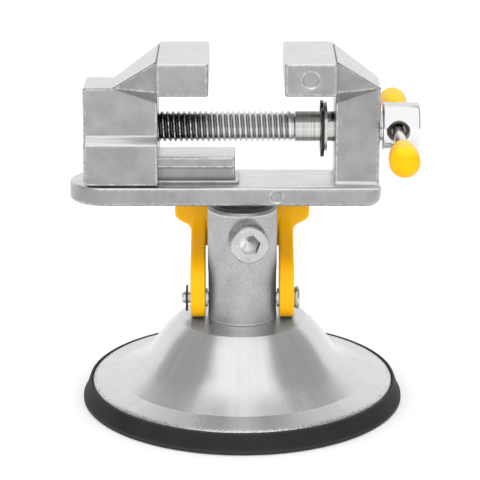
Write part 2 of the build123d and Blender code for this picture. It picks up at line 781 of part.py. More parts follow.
# ---------------------------------------------------------------- one file for each piece
pieces = {
    "rubber_pad": rubber_pad.part,
    "suction_dome": suction_dome.part,
    "neck_post": neck_post.part,
    "neck_nut": neck_nut.part,
    "pull_rod": pull_rod.part,
    "pull_plate": pull_plate.part,
    "return_spring": return_spring.part,
    "suction_lever": suction_lever.part,
    "pivot_pin": pivot_pin.part,
    "pin_clip": pin_clip.part,
    "pin_washer": pin_washer.part,
    "arm_spacers": arm_spacers.part,
    "swivel_stem": swivel_stem.part,
    "swivel_ring": swivel_ring.part,
    "lock_screw": lock_screw.part,
    "vise_frame": vise_frame.part,
    "moving_jaw": moving_jaw.part,
    "lead_screw": lead_screw.part,
    "screw_clip": screw_clip.part,
    "screw_washer": screw_washer.part,
    "tommy_bar": tommy_bar.part,
    **caps,
}
for name, piece in pieces.items():
    piece.label = name
    export_step(piece, f"parts/{name}.step")
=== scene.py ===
from math import atan2, cos, hypot, pi, radians, sin, tau

import bmesh
import bpy
from mathutils import Matrix, Vector


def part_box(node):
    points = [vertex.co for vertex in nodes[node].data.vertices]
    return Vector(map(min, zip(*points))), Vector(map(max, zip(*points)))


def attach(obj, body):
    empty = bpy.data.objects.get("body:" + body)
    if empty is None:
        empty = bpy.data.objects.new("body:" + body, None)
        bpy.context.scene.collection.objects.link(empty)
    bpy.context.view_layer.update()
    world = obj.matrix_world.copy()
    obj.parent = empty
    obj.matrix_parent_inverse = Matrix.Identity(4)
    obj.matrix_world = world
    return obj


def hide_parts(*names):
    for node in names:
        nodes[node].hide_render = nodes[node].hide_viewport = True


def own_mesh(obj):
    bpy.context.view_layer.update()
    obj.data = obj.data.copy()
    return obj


# Suction base vise, in metres. The origin is on the bench under the middle of the neck; X runs
# along the lead screw towards its head, Y points away from the user, Z is up.

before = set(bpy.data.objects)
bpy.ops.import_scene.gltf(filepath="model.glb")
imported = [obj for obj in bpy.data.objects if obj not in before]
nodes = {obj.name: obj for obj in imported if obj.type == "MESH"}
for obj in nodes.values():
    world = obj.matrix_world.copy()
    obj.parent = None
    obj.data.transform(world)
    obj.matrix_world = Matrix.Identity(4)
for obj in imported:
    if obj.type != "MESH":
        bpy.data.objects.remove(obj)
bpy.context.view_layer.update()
mm = 0.001

# ---------------------------------------------------------------- rubber pad
# The real pad is one compression-moulded disc of black nitrile rubber: a soft sealing lip, a
# shallow relief, a flat middle, and an outer wall that grips the dish's rim in a groove.


def outline_edges(bm, outline):
    """Joins points (radius, height) into one line of edges in the XZ plane."""
    points = [bm.verts.new((radius, 0, height)) for radius, height in outline]
    return points, [bm.edges.new(pair) for pair in zip(points, points[1:])]


def turned(outline, steps=96):
    """A closed shape turned about Z, from an outline that ends on the axis or from a loop."""
    bm = bmesh.new()
    points, lines = outline_edges(bm, outline)
    if outline[0][0] > 0 and outline[-1][0] > 0:
        lines.append(bm.edges.new((points[-1], points[0])))
    bmesh.ops.spin(
        bm,
        geom=points + lines,
        axis=(0, 0, 1),
        cent=(0, 0, 0),
        angle=tau,
        steps=steps,
        use_merge=True,
    )
    bmesh.ops.remove_doubles(bm, verts=bm.verts, dist=1e-7)
    bmesh.ops.recalc_face_normals(bm, faces=bm.faces)
    return bm


def arc(centre, radius, first, last, steps):
    """Points on an arc in an outline's own plane, from one angle to another in degrees."""
    turns = [radians(first + (last - first) * step / steps) for step in range(steps + 1)]
    return [(centre[0] + radius * cos(turn), centre[1] + radius * sin(turn)) for turn in turns]


def make_piece(bm, name, body, material, stands_for=(), crease=35):
    """Turns a bmesh into a smooth-shaded piece that rides on a body."""
    mesh = bpy.data.meshes.new(name)
    bm.to_mesh(mesh)
    bm.free()
    mesh.shade_smooth()
    mesh.set_sharp_from_angle(angle=radians(crease))
    mesh.materials.append(material)
    piece = bpy.data.objects.new(name, mesh)
    bpy.context.scene.collection.objects.link(piece)
    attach(piece, body)
    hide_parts(*stands_for)
    return piece


def screen_colour(red, green, blue):
    """A colour as a screen shows it, 0 to 255, in the linear values that a shader takes."""
    shares = [value / 255 for value in (red, green, blue)]
    linear = [s / 12.92 if s <= 0.04045 else ((s + 0.055) / 1.055) ** 2.4 for s in shares]
    return (*linear, 1)


def new_group(name, inputs, outputs):
    """An empty shader node group with named inputs (name, kind, value) and outputs (name, kind)."""
    group = bpy.data.node_groups.new(name, "ShaderNodeTree")
    for label, kind, value in inputs:
        made = group.interface.new_socket(label, in_out="INPUT", socket_type=kind)
        made.default_value = value
    for label, kind in outputs:
        group.interface.new_socket(label, in_out="OUTPUT", socket_type=kind)
    return group, group.nodes.new("NodeGroupInput"), group.nodes.new("NodeGroupOutput")


def feed(tree, value, socket):
    """Links a socket to another, or sets it to a plain value."""
    if isinstance(value, bpy.types.NodeSocket):
        tree.links.new(value, socket)
    else:
        socket.default_value = value


def number_node(tree, operation, first, second=None, third=None, clamp=False):
    """A Math node fed by sockets or plain numbers; gives its output socket."""
    node = tree.nodes.new("ShaderNodeMath")
    node.operation = operation
    node.use_clamp = clamp
    for socket, value in zip(node.inputs, (first, second, third)):
        if value is not None:
            feed(tree, value, socket)
    return node.outputs[0]


def step_between(tree, value, start, end):
    """A soft step from 0 to 1 as value goes from start to end."""
    node = tree.nodes.new("ShaderNodeMapRange")
    node.interpolation_type = "SMOOTHSTEP"
    tree.links.new(value, node.inputs["Value"])
    node.inputs["From Min"].default_value = start
    node.inputs["From Max"].default_value = end
    return node.outputs["Result"]


def between(tree, amount, low, high):
    """A value that runs from low to high as amount goes from 0 to 1."""
    node = tree.nodes.new("ShaderNodeMapRange")
    tree.links.new(amount, node.inputs["Value"])
    node.inputs["To Min"].default_value = low
    node.inputs["To Max"].default_value = high
    return node.outputs["Result"]


def contrasted(tree, value, times):
    """Spreads a value of 0 to 1 about its middle."""
    return number_node(tree, "MULTIPLY_ADD", value, times, 0.5 - 0.5 * times, clamp=True)


def noise_node(tree, vector, scale, detail=2.0, rough=0.5):
    """A 3D noise texture on a vector; gives its Fac socket."""
    node = tree.nodes.new("ShaderNodeTexNoise")
    node.inputs["Detail"].default_value = detail
    node.inputs["Roughness"].default_value = rough
    tree.links.new(vector, node.inputs["Vector"])
    feed(tree, scale, node.inputs["Scale"])
    return node.outputs["Fac"]


# Skin of a moulded, cast or blasted surface: fine grain over broad clouds.
skin_group, skin_in, skin_out = new_group(
    "surface_skin",
    (
        ("Vector", "NodeSocketVector", (0, 0, 0)),
        ("Grain Size", "NodeSocketFloat", 0.0003),
        ("Cloud Size", "NodeSocketFloat", 0.006),
        ("Cloud Share", "NodeSocketFloat", 0.5),
    ),
    (("Tone", "NodeSocketFloat"), ("Height", "NodeSocketFloat")),
)
grain_scale = number_node(skin_group, "DIVIDE", 1.0, skin_in.outputs["Grain Size"])
cloud_scale = number_node(skin_group, "DIVIDE", 1.0, skin_in.outputs["Cloud Size"])
grain = noise_node(skin_group, skin_in.outputs["Vector"], grain_scale, detail=3.0, rough=0.6)
grain = contrasted(skin_group, grain, 2.4)
clouds = noise_node(skin_group, skin_in.outputs["Vector"], cloud_scale)
clouds = contrasted(skin_group, clouds, 3.0)
spread = number_node(skin_group, "SUBTRACT", clouds, grain)
tone = number_node(skin_group, "MULTIPLY_ADD", spread, skin_in.outputs["Cloud Share"], grain)
skin_group.links.new(tone, skin_out.inputs["Tone"])
skin_group.links.new(grain, skin_out.inputs["Height"])

# Rounded edges: a painted dark line of shade on each outer edge, a bright one beside it that is
# partly rubbed wear and partly painted highlight, and the normal that rounds them. Rays sent into
# the solid meet another face of it only near an outer edge, so AO is 1 on an open face and about
# 0.5 on a square edge.
edge_group, edge_in, edge_out = new_group(
    "rubbed_lit_and_shaded_edges",
    (("Width", "NodeSocketFloat", 0.0004), ("Strength", "NodeSocketFloat", 1.0)),
    (("Mask", "NodeSocketFloat"), ("Dark", "NodeSocketFloat"), ("Normal", "NodeSocketVector")),
)
rounding = edge_group.nodes.new("ShaderNodeBevel")
rounding.samples = 8
edge_group.links.new(edge_in.outputs["Width"], rounding.inputs["Radius"])
depth = edge_group.nodes.new("ShaderNodeAmbientOcclusion")
depth.samples = 8
depth.inside = True
depth.only_local = True
edge_group.links.new(edge_in.outputs["Width"], depth.inputs["Distance"])
dark = step_between(edge_group, depth.outputs["AO"], 0.62, 0.5)
bright = step_between(edge_group, depth.outputs["AO"], 0.97, 0.9)
inner = step_between(edge_group, depth.outputs["AO"], 0.84, 0.76)
bright = number_node(edge_group, "SUBTRACT", bright, inner, clamp=True)
bright = number_node(edge_group, "MULTIPLY", bright, edge_in.outputs["Strength"], clamp=True)
dark = number_node(edge_group, "MULTIPLY", dark, edge_in.outputs["Strength"], clamp=True)
edge_group.links.new(bright, edge_out.inputs["Mask"])
edge_group.links.new(dark, edge_out.inputs["Dark"])
edge_group.links.new(rounding.outputs["Normal"], edge_out.inputs["Normal"])


def new_material(name, metallic=0.0, **plain):
    """A material, its tree, its Principled shader with plain values, and its object coordinates."""
    made = bpy.data.materials.new(name)
    made.use_nodes = True
    tree = made.node_tree
    shader = tree.nodes["Principled BSDF"]
    shader.inputs["Metallic"].default_value = metallic
    for label, value in plain.items():
        shader.inputs[label.replace("_", " ")].default_value = value
    places = tree.nodes.new("ShaderNodeTexCoord")
    return made, tree, shader, places.outputs["Object"]


def placed(tree, group, **values):
    """A node group in a material's tree, with plain values or sockets for its inputs."""
    node = tree.nodes.new("ShaderNodeGroup")
    node.node_tree = group
    for label, value in values.items():
        feed(tree, value, node.inputs[label.replace("_", " ")])
    return node


def blended(tree, amount, first, second):
    """A colour that runs from first to second; each is a colour or a socket."""
    node = tree.nodes.new("ShaderNodeMix")
    node.data_type = "RGBA"
    tree.links.new(amount, node.inputs["Factor"])
    for socket, value in zip((s for s in node.inputs if s.type == "RGBA"), (first, second)):
        feed(tree, value, socket)
    return next(s for s in node.outputs if s.type == "RGBA")


def raised(tree, shader, height, depth, under=None):
    """Bumps a shader's surface by a height of 0 to 1 times a depth in metres."""
    node = tree.nodes.new("ShaderNodeBump")
    node.inputs["Distance"].default_value = depth
    tree.links.new(height, node.inputs["Height"])
    if under is not None:
        tree.links.new(under, node.inputs["Normal"])
    tree.links.new(node.outputs["Normal"], shader.inputs["Normal"])


def skinned(tree, shader, place, grain, clouds, share, tones, rough, bump, rubbed_and_lit=None):
    """Gives a shader its skin: two tones, two roughnesses, a bump and, if given as width,
    strength and colour, edges painted bright, partly as rubbed wear and partly as a painted
    highlight. Gives the sockets of the colour and the roughness."""
    skin = placed(
        tree, skin_group, Vector=place, Grain_Size=grain, Cloud_Size=clouds, Cloud_Share=share
    )
    darker, paler = tones
    colour = blended(tree, skin.outputs["Tone"], screen_colour(*darker), screen_colour(*paler))
    # Edges painted bright: partly rubbed wear, partly a painted highlight.
    if rubbed_and_lit:
        width, strength, bright_edge_colour = rubbed_and_lit
        edges = placed(tree, edge_group, Width=width, Strength=strength)
        colour = blended(tree, edges.outputs["Mask"], colour, screen_colour(*bright_edge_colour))
    rough = between(tree, skin.outputs["Tone"], *rough)
    tree.links.new(colour, shader.inputs["Base Color"])
    tree.links.new(rough, shader.inputs["Roughness"])
    raised(tree, shader, skin.outputs["Height"], bump)
    return colour, rough


rubber, tree, shader, place = new_material("black_rubber", Specular_IOR_Level=0.22)
skinned(
    tree,
    shader,
    place,
    grain=0.5 * mm,
    clouds=9 * mm,
    share=0.6,
    tones=((30, 30, 31), (42, 42, 43)),
    rough=(0.52, 0.66),
    bump=0.02 * mm,
    rubbed_and_lit=(0.5 * mm, 0.5, (80, 80, 81)),
)

pad_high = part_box("rubber_pad")[1]
dish_low, dish_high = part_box("suction_dome")
pad_radius = pad_high.y
pad_height = pad_high.z
groove_radius = dish_high.x + 0.15 * mm
groove_floor = dish_low.z - 0.05 * mm
lip_width = 5.0 * mm
relief_width = 8.0 * mm
relief_depth = 0.8 * mm
relief_start = pad_radius - lip_width - relief_width
foot_edge = 0.2 * mm
band_height = 0.9 * mm
band_step = 0.35 * mm
wall_lean = 1.7 * mm
bead = 0.28 * mm
pad_outline = [
    (0, 0),
    (relief_start, 0),
    (relief_start + relief_depth, relief_depth),
    (pad_radius - lip_width - relief_depth, relief_depth),
    (pad_radius - lip_width, 0),
    (pad_radius - foot_edge, 0),
    (pad_radius, foot_edge),
    (pad_radius, band_height),
    (pad_radius - band_step, band_height + band_step),
    *arc((pad_radius - wall_lean - bead, pad_height - bead), bead, 15, 165, 5),
    (groove_radius, pad_height - bead),
    (groove_radius, groove_floor),
    (0, groove_floor),
]
make_piece(
    turned(pad_outline, steps=160),
    "moulded_pad",
    "base",
    rubber,
    stands_for=("rubber_pad",),
)

# ---------------------------------------------------------------- dish
# Spun from aluminium sheet over a former and polished on the lathe, so its sheen runs up and
# down the flank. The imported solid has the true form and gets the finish.

# Marks left by a turning or polishing tool: fine lines that depend on one place along the work.
line_group, line_in, line_out = new_group(
    "tool_lines",
    (("Place", "NodeSocketFloat", 0.0), ("Pitch", "NodeSocketFloat", 0.0002)),
    (("Tone", "NodeSocketFloat"), ("Height", "NodeSocketFloat")),
)
lines = line_group.nodes.new("ShaderNodeTexNoise")
lines.noise_dimensions = "1D"
lines.inputs["Scale"].default_value = 1.0
lines.inputs["Detail"].default_value = 3.0
line_count = number_node(line_group, "DIVIDE", line_in.outputs["Place"], line_in.outputs["Pitch"])
line_group.links.new(line_count, lines.inputs["W"])
line_group.links.new(contrasted(line_group, lines.outputs["Fac"], 2.0), line_out.inputs["Tone"])
line_group.links.new(lines.outputs["Fac"], line_out.inputs["Height"])


def axes_of(tree, vector):
    """The X, Y and Z of a vector, as sockets."""
    node = tree.nodes.new("ShaderNodeSeparateXYZ")
    tree.links.new(vector, node.inputs["Vector"])
    return node.outputs["X"], node.outputs["Y"], node.outputs["Z"]


def square(tree, value):
    """A value times itself."""
    return number_node(tree, "POWER", value, 2.0)


def distance(tree, first, second):
    """How far a point is from an axis, from its two coordinates across that axis."""
    total = number_node(tree, "ADD", square(tree, first), square(tree, second))
    return number_node(tree, "SQRT", total)


def grey(level):
    """A neutral screen colour."""
    return screen_colour(level, level, level)


spun, tree, shader, place = new_material(
    "spun_aluminium", metallic=1.0, Anisotropic=0.75, Anisotropic_Rotation=0.25
)
around = tree.nodes.new("ShaderNodeTangent")
around.direction_type = "RADIAL"
around.axis = "Z"
tree.links.new(around.outputs["Tangent"], shader.inputs["Tangent"])
x, y, z = axes_of(tree, place)
off_centre = distance(tree, x, y)
along_profile = number_node(tree, "SUBTRACT", off_centre, z)
rings = placed(tree, line_group, Place=along_profile, Pitch=0.25 * mm)

# Streaks run up the flank; they are counted along a circle of this radius.
streak_radius = 30 * mm
along_circle = number_node(tree, "MULTIPLY", number_node(tree, "ARCTAN2", y, x), streak_radius)
streaks = placed(tree, line_group, Place=along_circle, Pitch=2.6 * mm)
skin = placed(
    tree, skin_group, Vector=place, Grain_Size=0.35 * mm, Cloud_Size=9 * mm, Cloud_Share=0.6
)
colour = blended(tree, rings.outputs["Tone"], grey(231), grey(242))
streaked = number_node(tree, "MULTIPLY", streaks.outputs["Tone"], skin.outputs["Tone"])
colour = blended(tree, number_node(tree, "MULTIPLY", streaked, 0.5), colour, grey(206))

# The rim's edge is left unpolished: bright specks and dull pits.
rim_start = 38.5 * mm
rim_full = 39.2 * mm
at_rim = step_between(tree, off_centre, rim_start, rim_full)
specks = step_between(tree, skin.outputs["Height"], 0.5, 0.62)
colour = blended(tree, number_node(tree, "MULTIPLY", specks, at_rim), colour, grey(252))
pits = step_between(tree, skin.outputs["Height"], 0.42, 0.3)
colour = blended(tree, number_node(tree, "MULTIPLY", pits, at_rim), colour, grey(168))
tree.links.new(colour, shader.inputs["Base Color"])
plateau_full = 16.4 * mm
plateau_end = 17.4 * mm
on_plateau = step_between(tree, off_centre, plateau_end, plateau_full)
rough = between(tree, skin.outputs["Tone"], 0.26, 0.32)
rough = number_node(tree, "MULTIPLY_ADD", on_plateau, 0.06, rough)
rough = number_node(tree, "MULTIPLY_ADD", at_rim, 0.12, rough)
tree.links.new(rough, shader.inputs["Roughness"])
raised(tree, shader, rings.outputs["Height"], 0.0015 * mm)


def finish_nodes(material, slot, *names):
    """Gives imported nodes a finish."""
    for name in names:
        node = nodes[name]
        node.data.materials.clear()
        node.data.materials.append(material)


finish_nodes(spun, "polished_aluminium", "suction_dome")

# ---------------------------------------------------------------- neck, nut, rod, plate, pin
# The neck is aluminium, turned and cross-drilled and then blasted to a satin grain. The nut,
# rod, plate, pin and spacers are zinc plated steel. The washer under the pin's head is brass.
satin, tree, shader, place = new_material("satin_aluminium", metallic=1.0)
colour, rough = skinned(
    tree,
    shader,
    place,
    grain=0.4 * mm,
    clouds=7 * mm,
    share=0.35,
    tones=((170, 170, 170), (221, 221, 221)),
    rough=(0.44, 0.54),
    bump=0.038 * mm,
    rubbed_and_lit=(0.6 * mm, 1.0, (250, 250, 249)),
)

# A bright line is painted round the neck's foot, just over the dish, as the photo shows it.
# The line is a painted highlight.
foot_line = dish_high.z + 0.5 * mm
foot_fade = 0.2 * mm
x, y, z = axes_of(tree, place)
at_foot = step_between(tree, z, foot_line + foot_fade, foot_line)
tree.links.new(blended(tree, at_foot, colour, grey(254)), shader.inputs["Base Color"])
finish_nodes(satin, "satin_neck", "neck_post")

zinc, tree, shader, place = new_material("zinc_plated_steel", metallic=1.0)
skinned(
    tree,
    shader,
    place,
    grain=0.3 * mm,
    clouds=3 * mm,
    share=0.6,
    tones=((200, 202, 206), (222, 223, 226)),
    rough=(0.16, 0.28),
    bump=0.004 * mm,
    rubbed_and_lit=(0.2 * mm, 0.8, (245, 245, 245)),
)
finish_nodes(
    zinc, "zinc_steel", "neck_nut", "pull_rod", "pull_plate", "pivot_pin", "arm_spacers"
)

brass, tree, shader, place = new_material("brass", metallic=1.0)
skinned(
    tree,
    shader,
    place,
    grain=0.2 * mm,
    clouds=2 * mm,
    share=0.6,
    tones=((196, 148, 70), (226, 182, 98)),
    rough=(0.22, 0.34),
    bump=0.004 * mm,
)
finish_nodes(brass, "brass", "pin_washer")

# ---------------------------------------------------------------- return spring
# Five coils of music wire round the rod that push the pad down when the lever is let go. The
# real spring closes up by the lift as the lever locks; nothing here makes this piece do so.
spring_steel, tree, shader, place = new_material("spring_steel", metallic=1.0)
skinned(
    tree,
    shader,
    place,
    grain=0.15 * mm,
    clouds=2 * mm,
    share=0.5,
    tones=((110, 112, 116), (160, 162, 165)),
    rough=(0.22, 0.36),
    bump=0.004 * mm,
)

spring_low, spring_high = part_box("return_spring")
wire_radius = 0.8 * mm
coil_radius = spring_high.x - wire_radius
coil_turns = 5
steps_a_turn = 32
coil_rise = spring_high.z - spring_low.z - 2 * wire_radius
bm = bmesh.new()
wire = bmesh.ops.create_circle(bm, segments=12, radius=wire_radius, cap_ends=True)
to_start = Matrix.Translation((coil_radius, 0, spring_low.z + wire_radius))
bmesh.ops.transform(bm, matrix=to_start @ Matrix.Rotation(pi / 2, 4, "X"), verts=wire["verts"])
bmesh.ops.spin(
    bm,
    geom=bm.verts[:] + bm.edges[:] + bm.faces[:],
    axis=(0, 0, 1),
    cent=(0, 0, 0),
    dvec=(0, 0, coil_rise / (coil_turns * steps_a_turn)),
    angle=tau * coil_turns,
    steps=coil_turns * steps_a_turn,
    use_merge=False,
)
bmesh.ops.recalc_face_normals(bm, faces=bm.faces)
spring = make_piece(
    bm, "coil_spring", "base", spring_steel, stands_for=("return_spring",)
)
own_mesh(spring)

# ---------------------------------------------------------------- suction lever
# Injection moulded in yellow nylon: two cam arms, the web that joins them behind the neck and
# the flared thumb paddle. It pivots on the plain pin.
plastic, tree, shader, place = new_material(
    "yellow_nylon",
    Subsurface_Weight=0.12,
    Subsurface_Scale=0.0015,
    Subsurface_Radius=(1.0, 0.8, 0.2),
    Specular_IOR_Level=0.25,
)
colour, rough = skinned(
    tree,
    shader,
    place,
    grain=0.25 * mm,
    clouds=8 * mm,
    share=0.6,
    tones=((255, 178, 0), (255, 190, 0)),
    rough=(0.34, 0.44),
    bump=0.008 * mm,
    rubbed_and_lit=(0.4 * mm, 0.35, (255, 214, 70)),
)


def grey_in_mirrors(tree, shader, colour, seen):
    """Colours a shader, but shows mirrored rays another colour: the photo's metal mirrors no
    yellow from the parts beside it."""
    rays = tree.nodes.new("ShaderNodeLightPath")
    colour = blended(tree, rays.outputs["Is Glossy Ray"], colour, screen_colour(*seen))
    tree.links.new(colour, shader.inputs["Base Color"])


grey_in_mirrors(tree, shader, colour, (150, 146, 138))
finish_nodes(plastic, "yellow_plastic", "suction_lever")

# ---------------------------------------------------------------- clips
# Stamped spring steel E-clips with a black phosphate finish, pushed into their grooves.
black, tree, shader, place = new_material("black_phosphate", metallic=0.6)
skinned(
    tree,
    shader,
    place,
    grain=0.15 * mm,
    clouds=2 * mm,
    share=0.5,
    tones=((24, 24, 27), (46, 46, 50)),
    rough=(0.3, 0.5),
    bump=0.004 * mm,
    rubbed_and_lit=(0.15 * mm, 0.6, (120, 120, 124)),
)
finish_nodes(black, "black_steel", "pin_clip", "screw_clip")

# ---------------------------------------------------------------- swivel stem and ring
# The stem is turned steel, pressed into the bed. The ring is black acetal and keeps the bed off
# the neck's top as the head turns.
turned_steel, tree, shader, place = new_material("turned_steel", metallic=1.0)
x, y, z = axes_of(tree, place)
rings = placed(tree, line_group, Place=z, Pitch=0.15 * mm)
ring_tone = rings.outputs["Tone"]
colour = blended(tree, ring_tone, screen_colour(186, 187, 190), screen_colour(222, 222, 224))
tree.links.new(colour, shader.inputs["Base Color"])
tree.links.new(between(tree, ring_tone, 0.2, 0.3), shader.inputs["Roughness"])
raised(tree, shader, rings.outputs["Height"], 0.004 * mm)
finish_nodes(turned_steel, "turned_steel", "swivel_stem")

acetal, tree, shader, place = new_material("black_acetal")
skinned(
    tree,
    shader,
    place,
    grain=0.2 * mm,
    clouds=3 * mm,
    share=0.5,
    tones=((18, 18, 19), (34, 34, 35)),
    rough=(0.32, 0.45),
    bump=0.005 * mm,
)
finish_nodes(acetal, "black_plastic", "swivel_ring")

# ---------------------------------------------------------------- lock screw
# An M6 socket cap screw, nickel plated, with a knurled head and a broached socket whose drilled
# end shows as a cone. It is screwed through the neck's wall into the stem's groove.
head_radius = 5.0 * mm
head_height = 6.0 * mm
head_chamfer = 0.45 * mm
knurl_depth = 0.24 * mm
knurl_teeth = 48
socket_width = 5.0 * mm
socket_depth = 3.0 * mm
socket_turn = radians(11.25)
drill_radius = socket_width / 2 - 0.1 * mm
drill_point = 1.1 * mm
shank_radius = 3.0 * mm
shank_pitch = 1.0 * mm
shank_start = 4.65 * mm
lock_turned = radians(7)
lock_out = Vector((sin(lock_turned), -cos(lock_turned), 0))
neck_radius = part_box("neck_post")[1].x
lock_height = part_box("lock_screw")[1].z - head_radius
head_start = neck_radius + 0.3 * mm


def vector_node(tree, operation, first, second=None):
    """A Vector Math node on a socket and a plain vector."""
    node = tree.nodes.new("ShaderNodeVectorMath")
    node.operation = operation
    tree.links.new(first, node.inputs[0])
    if second is not None:
        node.inputs[1].default_value = second
    return node


def own_normal(tree):
    """Where a face points, in its piece's own axes."""
    return tree.nodes["Texture Coordinate"].outputs["Normal"]


nickel, tree, shader, place = new_material("bright_nickel", metallic=1.0)
colour, rough = skinned(
    tree,
    shader,
    place,
    grain=0.25 * mm,
    clouds=2.5 * mm,
    share=0.5,
    tones=((184, 184, 183), (214, 214, 213)),
    rough=(0.22, 0.34),
    bump=0.004 * mm,
    rubbed_and_lit=(0.2 * mm, 0.6, (250, 250, 249)),
)
face_middle = lock_out * (head_start + head_height) + Vector((0, 0, lock_height))
from_face = vector_node(tree, "SUBTRACT", place, face_middle).outputs["Vector"]
inwards = vector_node(tree, "DOT_PRODUCT", from_face, -lock_out).outputs["Value"]
reach = vector_node(tree, "LENGTH", from_face).outputs["Value"]
off_axis = number_node(tree, "SUBTRACT", square(tree, reach), square(tree, inwards))
off_axis = number_node(tree, "SQRT", off_axis)

# A hexagon's corners are 0.577 of its width from its axis.
in_socket = step_between(tree, off_axis, socket_width * 0.62, socket_width * 0.58)
sunk = step_between(tree, inwards, 0.02 * mm, 0.1 * mm)
sunk = number_node(tree, "MULTIPLY", sunk, in_socket)

# The reflections in the socket are painted as the photo shows them: dark on the flats that face
# left, bright on those that face right and up.
bright_side = (0.92, 0, 0.39)
to_bright = vector_node(tree, "DOT_PRODUCT", own_normal(tree), bright_side).outputs["Value"]
flats = step_between(tree, to_bright, -0.3, 0.4)
flats = blended(tree, flats, screen_colour(14, 14, 15), grey(254))
tree.links.new(blended(tree, sunk, colour, flats), shader.inputs["Base Color"])
tree.links.new(number_node(tree, "MULTIPLY_ADD", sunk, -0.5, 1.0), shader.inputs["Metallic"])
rough = number_node(tree, "MULTIPLY_ADD", in_socket, -0.16, rough)
tree.links.new(rough, shader.inputs["Roughness"])


def threaded_rod(length, radius, pitch, steps=48, tip=0.0, fade=0.0):
    """A screw thread along Z from 0 to length, with a chamfered start and a run-out at its end."""
    bm = bmesh.new()
    root = radius - 0.52 * pitch
    root_flat, crest_start, crest_end = 0.16 * pitch, 0.5 * pitch, 0.66 * pitch
    profile = []
    for turn in range(-1, int(length / pitch) + 2):
        low = turn * pitch
        profile += [(root, low), (root, low + root_flat)]
        profile += [(radius, low + crest_start), (radius, low + crest_end)]
    points, lines = outline_edges(bm, profile)
    bmesh.ops.spin(
        bm,
        geom=points + lines,
        axis=(0, 0, 1),
        cent=(0, 0, 0),
        dvec=(0, 0, pitch / steps),
        angle=tau,
        steps=steps,
        use_merge=False,
    )
    bmesh.ops.remove_doubles(bm, verts=bm.verts, dist=1e-6)
    for height, facing in ((0, -1), (length, 1)):
        bmesh.ops.bisect_plane(
            bm,
            geom=bm.verts[:] + bm.edges[:] + bm.faces[:],
            plane_co=(0, 0, height),
            plane_no=(0, 0, facing),
            clear_outer=True,
        )
    for vert in bm.verts:
        reach = hypot(vert.co.x, vert.co.y)
        wanted = min(reach, radius - max(0, tip - vert.co.z))
        if fade and vert.co.z > length - fade:
            wanted += (radius - wanted) * (vert.co.z - length + fade) / fade
        vert.co.x *= wanted / reach
        vert.co.y *= wanted / reach
    rims = [edge for edge in bm.edges if edge.is_boundary]
    bmesh.ops.holes_fill(bm, edges=rims, sides=0)
    bmesh.ops.recalc_face_normals(bm, faces=bm.faces)
    return bm


def grown(bm, edges, rise=0.0, scale=1.0):
    """Extrudes a loop of edges along Z and scales it about the axis; gives the new loop."""
    made = bmesh.ops.extrude_edge_only(bm, edges=edges)["geom"]
    fresh = [item for item in made if isinstance(item, bmesh.types.BMVert)]
    bmesh.ops.translate(bm, verts=fresh, vec=(0, 0, rise))
    bmesh.ops.scale(bm, verts=fresh, vec=(scale, scale, 1))
    return [item for item in made if isinstance(item, bmesh.types.BMEdge)]


def set_radius(edges, radius):
    """Moves a loop's vertices to a radius about Z, which may depend on their angle."""
    for vert in {vert for edge in edges for vert in edge.verts}:
        angle = atan2(vert.co.y, vert.co.x)
        vert.co.xy = vert.co.xy.normalized() * (radius(angle) if callable(radius) else radius)


def hexagon_radius(angle):
    """How far the socket's wall is from its axis at an angle."""
    past_corner = (angle - socket_turn) % radians(60)
    return socket_width / 2 / cos(past_corner - radians(30))


bm = bmesh.new()
knurl = bmesh.ops.create_circle(bm, segments=2 * knurl_teeth, radius=head_radius)["verts"]
for count, vert in enumerate(knurl):
    if count % 2:
        vert.co *= 1 - knurl_depth / head_radius
base_loop = bm.edges[:]
under = grown(bm, base_loop, scale=shank_radius / head_radius)
side_top = grown(bm, base_loop, head_height - head_chamfer)
crown = grown(bm, side_top, head_chamfer, 1 - head_chamfer / head_radius)
set_radius(crown, head_radius - head_chamfer)
mouth = grown(bm, crown)
set_radius(mouth, hexagon_radius)
socket_floor = grown(bm, mouth, -socket_depth)
drill_rim = grown(bm, socket_floor)
set_radius(drill_rim, drill_radius)
point = grown(bm, drill_rim, -drill_point, 0.02)
bmesh.ops.contextual_create(bm, geom=point)
bmesh.ops.contextual_create(bm, geom=under)
bmesh.ops.recalc_face_normals(bm, faces=bm.faces)
head_mesh = bpy.data.meshes.new("lock_head")
bm.to_mesh(head_mesh)
bm.free()
shank_length = head_start - shank_start + 0.1 * mm
bm = threaded_rod(shank_length, shank_radius, shank_pitch, steps=32, tip=0.4 * mm)
bmesh.ops.translate(bm, verts=bm.verts, vec=(0, 0, shank_start - head_start))
bm.from_mesh(head_mesh)
bpy.data.meshes.remove(head_mesh)
stand = Matrix.Translation(Vector((0, 0, lock_height)) + lock_out * head_start)
aim = lock_out.to_track_quat("Z", "Y").to_matrix().to_4x4()
bmesh.ops.transform(bm, matrix=stand @ aim, verts=bm.verts)
make_piece(
    bm, "socket_cap_screw", "clamp_screw", nickel, stands_for=("lock_screw",)
)

# ---------------------------------------------------------------- vise castings
# The bed with its rail, fixed column and arm is one aluminium die casting, and the moving jaw
# is another. Both are tumbled, and their tops are linished on a belt and also painted paler, as
# light from above shows them.

# Painted shade in corners and under overhangs: 1 deep inside, 0 on open faces.
shade_group, shade_in, shade_out = new_group(
    "painted_corner_shade",
    (("Reach", "NodeSocketFloat", 0.001), ("Strength", "NodeSocketFloat", 1.0)),
    (("Mask", "NodeSocketFloat"),),
)
shelter = shade_group.nodes.new("ShaderNodeAmbientOcclusion")
shelter.samples = 6
shelter.only_local = True
shade_group.links.new(shade_in.outputs["Reach"], shelter.inputs["Distance"])
closed = step_between(shade_group, shelter.outputs["AO"], 0.85, 0.35)
closed = number_node(shade_group, "MULTIPLY", closed, shade_in.outputs["Strength"], clamp=True)
shade_group.links.new(closed, shade_out.inputs["Mask"])

